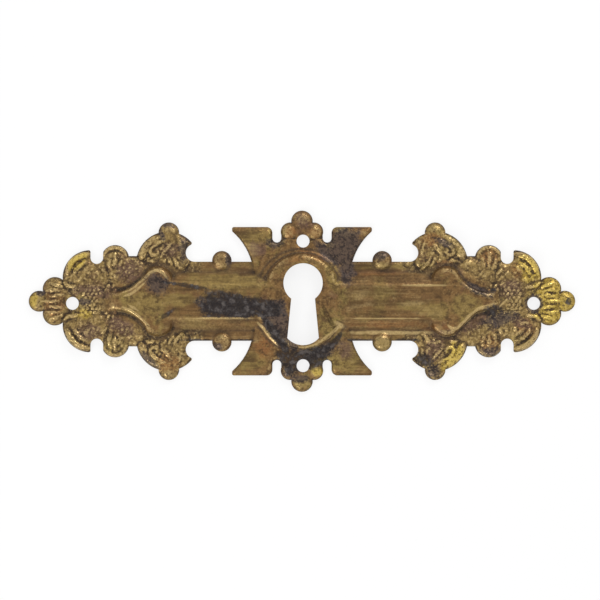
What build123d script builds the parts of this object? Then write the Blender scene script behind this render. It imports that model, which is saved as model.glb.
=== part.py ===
from build123d import *
import math
import os

# A keyhole escutcheon struck from one brass sheet: a bevelled bar with spade ends, an oval boss round the
# keyhole, beads and curled leaves, and a hollow back. It lies on its back: X along the bar, Y across it and
# Z out of the front, with the origin at the middle of the back. All sizes are in millimetres.

# Sheet and overall sizes
gauge = 0.8
plate_length = 101.6
plate_height = 33.7
bar_width = 14.7
edge_lip = 0.25
corner_r = 0.35

# Beads round the outline. A dome is built of flat courses, each a share of the bead's radius and rise.
bead_sides = 12
bead_courses = ((0.22, 0.6), (0.4, 0.4))
dimple_sides = 5
dimple_draw = 0.33
bead_rise = 0.6
tip_bead_r = 1.95
end_bead_r = 2.25
end_bead_from_tip = 4.85
end_bead_y = 2.25
shoulder_bead_r = 1.9
shoulder_bead_from_tip = 26.05
shoulder_bead_over_bar = 5.4
button_r = 1.8
button_over_bar = 0.2
crown_bead_r = 2.0
crown_side_bead_r = 1.75
crown_side_bead_x = 2.2
crown_side_bead_from_top = 3.95

# Leaves of each end: discs in the outline, parted by a scoop and a notch
shoulder_r = 5.9
shoulder_from_tip = 25.85
shoulder_under_edge = 0.3
scoop_r = 1.65
scoop_from_tip = 30.83
lobe_r = 2.6
lobe_from_tip = 16.05
lobe_over_bar = 0.5
valley_over_bar = 1.05
notch_width = 2.4
notch_from_tip = 12.65
notch_under_edge = 0.4
hook_r = 5.1
hook_from_tip = 11.4
hook_y = 4.4

# Relief of the leaves: curled rims, and low studs and veins placed from the middle of a leaf
curl_slope = 28
shoulder_curl = (5.65, 1.9, 1.0, (14, 70))
shoulder_scroll = (4.1, 0.9, 0.7, (40, 100))
lobe_curl = (2.1, 1.0, 0.7, (0, 180))
hook_curl = (4.85, 1.9, 1.0, (4, 88))
hook_band = (3.0, 0.9, 0.7, (15, 85))
stud_sides = 6
stud_rise = 0.7
stud_slope = 35
scroll_eye = (2.65, 2.4, 0.9)
lobe_drop = (0.0, -0.2, 0.9)
vein_width = 0.9
vein_rise = 0.6
vein_slope = 25
shoulder_veins = ((-2.75, -1.35, 4.3, 61), (0.65, -1.35, 2.1, 78), (1.45, 0.55, 4.2, 120))
hook_veins = ((-1.4, -0.4, 2.6, 52), (1.7, -2.1, 2.7, 17))

# Middle of the plate: four wings and, above and below, a crown of three beads
middle_width = 18.0
middle_from_top = 5.1
crown_neck_width = 7.7
notch_sides = 8
wing_inner_x = 5.5
wing_tip_x = 13.0
wing_from_top = 3.05
wing_blunt = 0.8
wing_corner_r = 1.1
wing_hollow_r = 11.8
wing_rise = 0.4
wing_bevel = 1.3

# Bar, its spade ends and the boss round the keyhole
bar_rise = 1.7
bar_foot_width = 10.8
bar_crest_width = 6.2
spade_from_tip = 26.3
spade_length = 10.9
spade_width = 12.0
spade_shoulder_r = 2.3
spade_flank = 32
spade_neck_width = 2.6
spade_bevel = 1.0
spade_border = 0.6
spade_border_rise = 0.25
boss_rise = 2.2
boss_width = 16.4
boss_height = 18.8
boss_bevel = 1.2
boss_side_bevel = 2.6
boss_step = 0.7
boss_step_rise = 0.75

# Pierced holes, which sit a little off the middle of the struck form
pierce_x = 0.2
pierce_y = -0.4
pin_r = 1.2
end_pin_from_tip = 7.93
crown_pin_from_top = 5.275
keyhole_r = 3.65
keyhole_eye_y = 3.8
keyhole_neck_width = 4.4
keyhole_neck_y = 0.9
keyhole_foot_width = 5.85
keyhole_foot_y = -6.45
keyhole_sag = 1.3

# Places that follow from the sizes above
half_length = plate_length / 2
half_height = plate_height / 2
bar_edge = bar_width / 2
shoulder_x = half_length - shoulder_from_tip
shoulder_y = bar_edge - shoulder_under_edge
scoop_x = half_length - scoop_from_tip
lobe_x = half_length - lobe_from_tip
lobe_y = bar_edge + lobe_over_bar
notch_x = half_length - notch_from_tip
hook_x = half_length - hook_from_tip
tip_bead_x = half_length - tip_bead_r
end_bead_x = half_length - end_bead_from_tip
wing_root_x = middle_width / 2
wing_top_y = half_height - wing_from_top
middle_top_y = half_height - middle_from_top
crown_bead_y = half_height - crown_bead_r
crown_side_bead_y = half_height - crown_side_bead_from_top
button_x = (wing_root_x + scoop_x + scoop_r / 2) / 2
spade_x = half_length - spade_from_tip


def polar(x, y, r, angle):
    return x + r * math.cos(math.radians(angle)), y + r * math.sin(math.radians(angle))


def four_ways(x, y):
    """The place given and its mirror images across both axes, each once."""
    return sorted({(side * x, end * y) for side in (1, -1) for end in (1, -1)})


def mirrored(shape):
    """A shape from the upper right quarter, with its mirror images."""
    right = [shape, mirror(shape, about=Plane.XZ)]
    return right + [mirror(each, about=Plane.YZ) for each in right]


def both_ends(shape):
    """A shape from the right end, with its mirror image."""
    return [shape, mirror(shape, about=Plane.YZ)]


def raised(face, rise, run):
    """A form on the front of the sheet, with bevels that draw in by a run over its rise."""
    return Pos(0, 0, gauge) * extrude(face, rise, taper=math.degrees(math.atan2(run, rise)))


def drawn_in(rise, run):
    """How far the hollow behind a bevel is drawn in, so that the sheet keeps its gauge there."""
    return gauge * math.tan(math.atan2(rise, run) / 2)


def wing(inset=0):
    """One wing, drawn in from the plate's edge by an inset."""
    foot = bar_foot_width / 2
    top = wing_top_y - inset
    inner = wing_inner_x + inset
    root = (wing_root_x - inset, foot)
    tip = (wing_tip_x - 2 * inset, top - wing_blunt)
    straights = Polyline(tip, (tip[0], top), (inner, top), (inner, foot), root)
    face = make_face([RadiusArc(root, tip, wing_hollow_r), straights])
    corner = face.vertices().sort_by_distance((inner, top))[0]
    return fillet(corner, wing_corner_r - inset)


def middle(inset=0):
    """The block behind the boss, notched beside the wings and drawn in from the plate's edge by an inset."""
    neck = crown_neck_width / 2
    notch = RegularPolygon((wing_inner_x - neck) / 2 + inset, notch_sides)
    block = Rectangle(middle_width - 2 * inset, 2 * (middle_top_y - inset))
    return block - [Pos(x, y) * notch for x, y in four_ways((wing_inner_x + neck) / 2, middle_top_y)]


def end_leaves():
    """The leaves of the upper right quarter, as one face."""
    places = [(shoulder_x, shoulder_y, shoulder_r), (lobe_x, lobe_y, lobe_r), (hook_x, hook_y, hook_r)]
    valley = bar_edge + valley_over_bar
    middle = Pos((shoulder_x + lobe_x) / 2, valley / 2) * Rectangle(lobe_x - shoulder_x, valley)
    scoop = Pos(scoop_x - scoop_r, bar_edge + scoop_r) * SlotOverall(4 * scoop_r, 2 * scoop_r)
    notch_depth = 2 * hook_r
    notch = SlotOverall(notch_depth, notch_width, rotation=90)
    notch = Pos(notch_x, bar_edge - notch_under_edge + notch_depth / 2) * notch
    face = middle + [Pos(x, y) * Circle(r) for x, y, r in places] - scoop - notch
    spur = face.vertices().sort_by_distance((scoop_x, bar_edge + 2 * scoop_r))[0]
    hook = face.vertices().sort_by_distance((hook_x, hook_y + hook_r))[0]
    return fillet([spur, hook], corner_r)


def outline():
    """The trimmed edge of the sheet, apart from the beads."""
    blocks = [
        Rectangle(2 * shoulder_x, bar_width),
        Rectangle(2 * hook_x + hook_r, 2 * hook_y),
        Rectangle(2 * end_bead_x, 2 * end_bead_y),
        Rectangle(2 * tip_bead_x, end_bead_y),
        middle(),
        Rectangle(crown_neck_width, 2 * crown_side_bead_y),
        Rectangle(crown_side_bead_x, 2 * crown_bead_y),
    ]
    tips = wing().vertices().sort_by(Axis.X)[-2:]
    return Sketch() + blocks + mirrored(end_leaves()) + mirrored(fillet(tips, corner_r))


def spade(grow=0):
    """The right end of the bar: round shoulders and hollow flanks that run out to a narrow neck."""
    r = spade_shoulder_r + grow
    mid_x = spade_x + spade_shoulder_r
    mid_y = spade_width / 2 - spade_shoulder_r
    flank = math.radians(spade_flank)
    turn = polar(mid_x, mid_y, r, spade_flank)
    neck = (spade_x + spade_length + grow, spade_neck_width / 2 + grow)
    sides = [
        TangentArc(turn, neck, tangent=(math.sin(flank), -math.cos(flank))),
        ThreePointArc(turn, (mid_x, mid_y + r), (mid_x - r, mid_y)),
    ]
    sides += [mirror(side, about=Plane.XZ) for side in sides]
    ends = [Line((x, -y), (x, y)) for x, y in (neck, (mid_x - r, mid_y))]
    return make_face(sides + ends)


def bar(foot_width, crest_width, low, high):
    """A length of the bar's section, from spade to spade."""
    foot = foot_width / 2
    crest = crest_width / 2
    section = make_face(Polyline((-foot, low), (foot, low), (crest, high), (-crest, high), close=True))
    return extrude(Plane.YZ * section, spade_x + spade_border / 2, both=True)


def bar_hollow():
    draw = 2 * drawn_in(bar_rise, (bar_foot_width - bar_crest_width) / 2)
    return bar(bar_foot_width - draw, bar_crest_width - draw, 0, bar_rise)


def spade_end():
    """A spade with a raised border, its field level with the bar's crest and open to it."""
    field_z = gauge + bar_rise
    crest = Pos(0, 0, field_z + spade_border_rise) * spade()
    body = loft([Pos(0, 0, gauge) * spade(spade_bevel), crest], ruled=True)
    mouth = Pos(spade_x) * Rectangle(2 * spade_shoulder_r, bar_crest_width)
    return body - Pos(0, 0, field_z) * extrude(spade(-spade_border) + mouth, spade_border_rise)


def spade_hollow():
    draw = drawn_in(bar_rise, spade_bevel)
    return loft([spade(spade_bevel - draw), Pos(0, 0, bar_rise) * spade(-draw)], ruled=True)


def boss_oval(grow=0):
    return SlotOverall(boss_height + 2 * grow, boss_width + 2 * grow, rotation=90)


def boss_form(low, inset=0):
    """The boss from a level up, drawn in by an inset, with steep ends and broad sloping sides."""
    height = boss_height - 2 * (boss_bevel + inset)
    width = boss_width - 2 * (boss_side_bevel + inset)
    crest = SlotOverall(height, width, rotation=90)
    return loft([Pos(0, 0, low) * boss_oval(-inset), Pos(0, 0, low + boss_rise) * crest], ruled=True)


def boss_hollow():
    return boss_form(0, drawn_in(boss_rise, boss_bevel))


def middle_pad():
    """A raised field on the wings and behind the boss, with a bevel along the wings' outer side."""
    fields = middle(edge_lip) + mirrored(wing(edge_lip))
    pad = Pos(0, 0, gauge) * extrude(fields, wing_rise)
    crest = gauge + wing_rise
    waste = Polyline((wing_top_y, gauge), (wing_top_y, crest), (wing_top_y - wing_bevel, crest), close=True)
    upper = extrude(Plane.YZ * make_face(waste), 2 * wing_tip_x, both=True)
    return pad - upper - mirror(upper, about=Plane.XZ)


def bead(x, y, r, rise):
    """A bead that goes through the sheet and stands on it as a dome."""
    body = extrude(RegularPolygon(r, bead_sides), gauge)
    for run, climb in bead_courses:
        top = body.faces().sort_by(Axis.Z)[-1]
        body += extrude(top, climb * rise, taper=math.degrees(math.atan2(run * r, climb * rise)))
    return Pos(x, y) * body


def bead_hollow(x, y, r, rise):
    """The dimple behind a bead."""
    mouth = RegularPolygon(r - gauge / 2, dimple_sides)
    return Pos(x, y) * extrude(mouth, rise, taper=math.degrees(math.atan2(dimple_draw * r, rise)))


def curl(x, y, form):
    """A raised rim round a leaf's middle, widest half way along its outer arc."""
    r, width, rise, span = form
    half = sum(span) / 2
    first, last = [polar(x, y, r, angle) for angle in span]
    outer = ThreePointArc(first, polar(x, y, r, half), last)
    inner = ThreePointArc(last, polar(x, y, r - width, half), first)
    return raised(make_face([outer, inner]), rise, rise * math.tan(math.radians(curl_slope)))


def stud(x, y, form):
    """A low round stud."""
    along, across, r = form
    base = Pos(x + along, y + across) * RegularPolygon(r, stud_sides)
    return raised(base, stud_rise, stud_rise * math.tan(math.radians(stud_slope)))


def vein(x, y, form):
    """A dart that starts near a leaf's middle and runs out to a point."""
    along, across, length, angle = form
    foot = (x + along, y + across)
    waist = math.hypot(length / 3, vein_width / 2)
    spread = math.degrees(math.atan2(vein_width / 2, length / 3))
    corners = [(0, 0), (waist, -spread), (length, 0), (waist, spread)]
    dart = make_face(Polyline(*[polar(*foot, r, angle + turn) for r, turn in corners], close=True))
    return raised(dart, vein_rise, vein_rise * math.tan(math.radians(vein_slope)))


def leaf_relief():
    """Curled rims, studs and veins on the leaves of the upper right quarter."""
    shoulder = (shoulder_x, shoulder_y)
    lobe = (lobe_x, lobe_y)
    hook = (hook_x, hook_y)
    forms = [curl(*shoulder, form) for form in (shoulder_curl, shoulder_scroll)]
    forms += [curl(*lobe, lobe_curl)] + [curl(*hook, form) for form in (hook_curl, hook_band)]
    forms += [stud(*shoulder, scroll_eye), stud(*lobe, lobe_drop)]
    forms += [vein(*shoulder, form) for form in shoulder_veins]
    return forms + [vein(*hook, form) for form in hook_veins]


def keyhole():
    eye = Pos(0, keyhole_eye_y) * Circle(keyhole_r)
    neck = keyhole_neck_width / 2
    foot = keyhole_foot_width / 2
    right = [(neck, keyhole_eye_y), (neck, keyhole_neck_y), (foot, keyhole_foot_y)]
    left = [(-x, y) for x, y in reversed(right)]
    sill = ThreePointArc(right[-1], (0, keyhole_foot_y - keyhole_sag), left[0])
    return eye + make_face([Polyline(*right), sill, Polyline(*left, right[0])])


def piercings():
    """Everything punched through the struck sheet."""
    pins = four_ways(half_length - end_pin_from_tip, 0) + four_ways(0, half_height - crown_pin_from_top)
    punched = Sketch() + [Pos(x, y) * Circle(pin_r) for x, y in pins] + keyhole()
    return Pos(pierce_x, pierce_y) * extrude(punched, 2 * (gauge + boss_rise), both=True)


def bead_places():
    """Every bead of the outline: its place and its radius."""
    kinds = [
        (tip_bead_x, 0, tip_bead_r),
        (end_bead_x, end_bead_y, end_bead_r),
        (half_length - shoulder_bead_from_tip, bar_edge + shoulder_bead_over_bar, shoulder_bead_r),
        (button_x, bar_edge + button_over_bar, button_r),
        (0, crown_bead_y, crown_bead_r),
        (crown_side_bead_x, crown_side_bead_y, crown_side_bead_r),
    ]
    return [(x, y, r) for at_x, at_y, r in kinds for x, y in four_ways(at_x, at_y)]


def escutcheon_plate():
    sheet = extrude(outline(), gauge)
    forms = [bead(x, y, r, bead_rise) for x, y, r in bead_places()]
    forms += [bar(bar_foot_width, bar_crest_width, gauge, gauge + bar_rise)] + both_ends(spade_end())
    forms += [boss_form(gauge), raised(boss_oval(boss_step), boss_step_rise, boss_step_rise), middle_pad()]
    for form in leaf_relief():
        forms += mirrored(form)
    hollows = [bead_hollow(x, y, r, bead_rise) for x, y, r in bead_places()]
    hollows += [bar_hollow(), boss_hollow()] + both_ends(spade_hollow())
    return sheet + forms - hollows - piercings()


if __name__ == "__main__":
    os.makedirs("parts", exist_ok=True)
    export_step(escutcheon_plate(), "parts/escutcheon_plate.step")
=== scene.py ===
import math
from types import SimpleNamespace

import bpy
import numpy as np
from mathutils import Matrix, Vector


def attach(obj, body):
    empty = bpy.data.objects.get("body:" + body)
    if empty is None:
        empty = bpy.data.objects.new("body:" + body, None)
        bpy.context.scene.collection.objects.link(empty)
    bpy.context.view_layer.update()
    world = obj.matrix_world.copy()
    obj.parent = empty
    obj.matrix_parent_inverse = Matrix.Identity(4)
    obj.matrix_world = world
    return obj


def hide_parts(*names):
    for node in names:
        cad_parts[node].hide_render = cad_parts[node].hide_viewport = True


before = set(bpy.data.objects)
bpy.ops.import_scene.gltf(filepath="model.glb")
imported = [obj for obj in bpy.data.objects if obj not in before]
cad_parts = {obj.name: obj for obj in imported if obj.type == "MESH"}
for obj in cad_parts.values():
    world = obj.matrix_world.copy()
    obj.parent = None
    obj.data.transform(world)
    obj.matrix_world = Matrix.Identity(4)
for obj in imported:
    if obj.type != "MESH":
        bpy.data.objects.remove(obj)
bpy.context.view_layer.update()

# An old keyhole escutcheon, made the way the real one was: a flat brass blank is trimmed to the plate's
# edge, pressed down over a die, and given its thickness. Sizes are in millimetres until mm makes them
# metres, with X along the bar, Y across it and Z out of the front.
mm = 0.001
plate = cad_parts["escutcheon_plate"]

# Sheet
gauge = 0.8
cell = 0.215
blank_margin = 1.0
press_height = 12.0
soften_passes = 2
soften_share = 0.5
edge_roll = 0.16
edge_roll_reach = 0.45
back_flat = 0.15
crease_angle = 40

# How the walls of the plate's edge and holes are told from its other faces: how upright they are, how close
# they come to the back or the front, and how near the keyhole those are that end on the front
upright_slope = 0.02
end_reach = 0.01
keyhole_reach = 9.5

# Distances within which points become one, in the plate and in the trimmed blank
weld = 0.002
blank_weld = 0.02

# Sides of round forms, and steps round and along a roll
punch_sides = 64
swell_sides = 48
bead_sides = 72
boss_sides = 120
pebble_sides = 12
roll_round = 4
roll_steps = 8

# Bar and its spade ends, as far as the finer forms have to keep clear of them
leaves_from = 18.5
bar_foot = 5.45
spade_round = (26.8, 3.7, 3.35)
spade_flank = ((29.6, 5.5), (36.4, 2.35))
bar_crest = 2.5

# Boss: a low dome round the keyhole, as reach along and across, and rise
boss = (8.4, 9.6, 2.33)

# Round ends of the notches between the wings and the crown
notch = (4.675, 11.75, 0.825)

# Beads of the outline: place and radius in the upper right quarter
bead_rise = 0.72
bead_margin = 1.02
beads = [
    (48.85, 0.0, 1.95),
    (45.95, 2.25, 2.25),
    (24.75, 12.75, 1.9),
    (14.9, 7.55, 1.8),
    (0.0, 14.85, 2.0),
    (2.2, 12.9, 1.75),
]

# Leaves of the upper right quarter: swells as place, reach along and across, and rise
lobe = (34.75, 7.85)
hook = (39.4, 4.4)
swells = [
    (25.4, 9.0, 4.9, 4.6, 0.9),
    (34.75, 7.2, 2.7, 3.0, 0.8),
    (39.6, 4.3, 5.0, 4.9, 0.9),
    (31.8, 4.8, 5.0, 3.6, 1.05),
    (38.0, 0.0, 6.5, 3.6, 0.8),
    (45.2, 0.0, 3.4, 3.0, 0.75),
    (24.8, 11.6, 1.9, 2.4, 0.75),
    (0.0, 13.2, 2.6, 2.2, 0.6),
]

# Rolls of the leaves: width, rise, and points with a place and a share of the width
rims = [
    # Rim of the shoulder leaf, and the lip along the valley between it and the lobe
    (2.2, 1.15, [(25.7, 12.3, 0.5), (27.3, 11.4, 1), (28.8, 10.0, 1), (29.7, 8.4, 0.9), (30.0, 7.0, 0.3)]),
    (0.7, 0.5, [(30.4, 7.9, 0.3), (31.4, 7.95, 1), (32.5, 8.1, 0.4)]),
]
round_rims = [
    # Rims on an arc: middle, radius, first and last angle, width and rise
    (lobe, 2.15, -15, 195, 0.9, 0.85),
    (hook, 4.3, 92, 2, 1.6, 1.2),
]
vein_foot = 0.6
veins = [
    # Scroll and midrib of the shoulder leaf
    (
        0.9,
        0.6,
        [
            (25.0, 11.6, 0.3),
            (26.3, 11.0, 0.9),
            (27.4, 10.4, 1),
            (28.1, 9.6, 1),
            (28.0, 8.8, 0.9),
            (27.3, 8.6, 0.9),
            (26.8, 9.1, 0.8),
            (27.1, 9.6, 0.6),
        ],
    ),
    (0.9, 0.65, [(23.9, 11.1, 0.3), (24.9, 10.0, 1), (25.9, 8.8, 0.9), (26.3, 7.6, 0.3)]),
    # Its smaller veins
    (0.85, 0.6, [(22.2, 5.9, 0.3), (23.3, 7.0, 1), (24.1, 8.9, 0.3)]),
    (0.75, 0.6, [(23.7, 6.3, 0.3), (24.6, 7.6, 1), (25.0, 9.1, 0.3)]),
    (0.7, 0.55, [(25.3, 6.9, 0.3), (25.5, 7.5, 1), (25.6, 8.3, 0.3)]),
    (0.7, 0.55, [(27.3, 7.2, 0.4), (27.7, 7.5, 1), (28.9, 7.4, 0.3)]),
    (0.7, 0.4, [(22.3, 8.0, 0.3), (22.4, 9.6, 1), (23.0, 11.6, 0.3)]),
    # Flame of drops in the lobe
    (1.1, 0.45, [(34.4, 5.4, 0.3), (33.7, 6.9, 1), (33.6, 8.3, 0.3)]),
    (1.1, 0.45, [(35.1, 5.4, 0.3), (35.8, 6.9, 1), (35.9, 8.3, 0.3)]),
    (1.2, 0.55, [(34.75, 5.7, 0.3), (34.75, 7.5, 1), (34.75, 9.2, 0.3)]),
    # Inner band and ribs of the hook leaf
    (0.95, 0.55, [(39.9, 7.3, 0.3), (41.0, 6.8, 1), (42.0, 5.8, 1), (42.4, 4.8, 0.4)]),
    (0.8, 0.55, [(39.2, 6.9, 0.3), (40.2, 5.9, 1), (41.2, 4.7, 0.3)]),
    (0.8, 0.55, [(38.7, 4.6, 0.3), (39.6, 5.3, 1), (40.2, 6.4, 0.3)]),
    (0.8, 0.55, [(40.0, 4.5, 0.3), (41.2, 4.0, 1), (42.4, 3.9, 0.3)]),
    (0.85, 0.5, [(40.9, 2.2, 0.3), (42.3, 2.7, 1), (43.5, 2.9, 0.9), (44.3, 3.6, 0.3)]),
    (0.75, 0.5, [(36.1, 4.8, 0.3), (36.9, 5.7, 1), (37.4, 6.2, 0.3)]),
    (0.75, 0.5, [(37.2, 4.3, 0.3), (38.0, 5.2, 1), (38.4, 6.1, 0.3)]),
    # Drops of the end, between the beads and the tip
    (0.7, 0.45, [(44.2, 1.2, 0.3), (45.6, 1.1, 1), (47.3, 0.7, 0.2)]),
    (0.7, 0.4, [(44.3, 2.6, 0.3), (45.6, 3.0, 1), (47.0, 3.4, 0.2)]),
    (0.7, 0.42, [(44.8, 1.9, 0.3), (46.2, 2.1, 1), (47.6, 1.9, 0.2)]),
    (0.8, 0.42, [(44.6, 0.0, 0.3), (46.2, 0.0, 1), (48.4, 0.0, 0.3)]),
]
arc_points = 7
rim_end_share = 0.35

# Rosette
rosette = (35.5, 2.1)
rosette_petals = 6
petal_reach = (0.35, 1.25)
petal_shares = (0.3, 1, 0.4)
petal_width = 0.65
petal_rise = 0.45

# Pebbles on the ground between the rosette and the nail hole, in slanting rows
pebble_pitch = 0.78
pebble_row_pitch = 0.87 * pebble_pitch
pebble_r = 0.36
pebble_rise = 0.3
pebble_foot = 0.75
pebble_rows = 4
pebbles_in_row = 5
pebble_from = (37.4, 0.0)

# Flat ground of the die, under all the forms
bed_size = 200.0

# Tip of the spade, which runs out along the ground, and the place and reach where it is softened
spade_tip = (3.6, 1.75, [(32.5, 0.0, 1), (35.6, 0.0, 0.8), (39.0, 0.0, 0.1)])
tip_end = (36.0, 0.0, 1.5)
tip_fade = 1.5
tip_passes = 60

# Worn lines along the spades' edges, raised, and painted pale as highlights where they rise enough, which
# differ from side to side: width, rise and points
spade_lines = [
    (
        0.45,
        0.26,
        [
            (27.0, -4.4, 0.4),
            (27.9, -5.2, 1),
            (28.9, -5.0, 1),
            (30.0, -3.9, 1),
            (31.3, -2.6, 1),
            (32.8, -1.4, 1),
            (34.7, -0.8, 0.8),
            (36.4, -0.3, 0.3),
        ],
    ),
    (0.5, 0.12, [(24.8, 4.2, 0.3), (26.0, 5.4, 1), (27.2, 5.7, 1), (28.6, 5.2, 0.3)]),
    (
        0.42,
        0.24,
        [
            (-24.9, 4.1, 0.4),
            (-25.8, 5.3, 1),
            (-26.9, 5.8, 1),
            (-28.2, 5.3, 1),
            (-29.3, 4.3, 1),
            (-30.4, 3.3, 1),
            (-31.8, 2.2, 1),
            (-33.4, 1.6, 0.4),
        ],
    ),
    (0.4, 0.16, [(-29.0, 3.6, 0.3), (-30.2, 2.5, 1), (-31.6, 1.4, 1), (-33.2, 0.9, 0.3)]),
    (
        0.42,
        0.24,
        [
            (-28.2, -4.6, 0.3),
            (-29.4, -3.6, 1),
            (-30.6, -2.6, 1),
            (-32.0, -1.6, 1),
            (-33.4, -1.0, 0.4),
        ],
    ),
    (0.4, 0.16, [(-30.2, -1.9, 0.3), (-31.2, -1.2, 1), (-32.4, -0.6, 0.3)]),
]

# Grain and lumps pressed into the leaves, and dents all over: size, depth, and the level that stays put
leaf_fade = 12
grain_size = 0.8
grain_depth = 0.38
lump_size = 1.9
lump_depth = 0.4
grain_middle = 0.4
dent_size = 5.0
dent_depth = 0.10
dent_middle = 1

# How often heights and regions are evened out with their neighbours before the finish reads them
stand_passes = {"stand_fine": 6, "stand_close": 24, "stand_wide": 200}
region_passes = {"leaves": 30, "carved": 8, "bar": 6}

# Half of the bar, which is brushed along its length: middle and reach
bar_half = (17.0, 8.8)

# How far inside or outside a stain is still told apart
stain_limit = 4

# A dark stripe on the left of the bar, which stops along the crest's lower edge
crest_edge = -2.9
crest_edge_soft = 0.15
crest_stripe = [
    (-16.4, -0.8, 3.2, 2.7, -8, 0.55),
    (-12.6, -1.4, 4.8, 2.9, -6, 0.2),
    (-8.0, -1.6, 4.6, 2.3, -4, 0.2),
]

# Soot and dusk on the boss, as patches with straight sides
patch_soft = 0.6
soot_patches = [
    [(-5.2, -8.2), (-4.4, -11.6), (-2.6, -13.6), (0.6, -12.9), (3.6, -12.3), (5.6, -9.0), (0.5, -9.2)],
]
dusk_patches = [
    [(-7.6, -2.6), (-7.3, -4.0), (-4.3, -8.3), (-2.6, -8.6), (-2.4, -4.0), (-3.3, 0.5), (-6.4, 0.3)],
]

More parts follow.
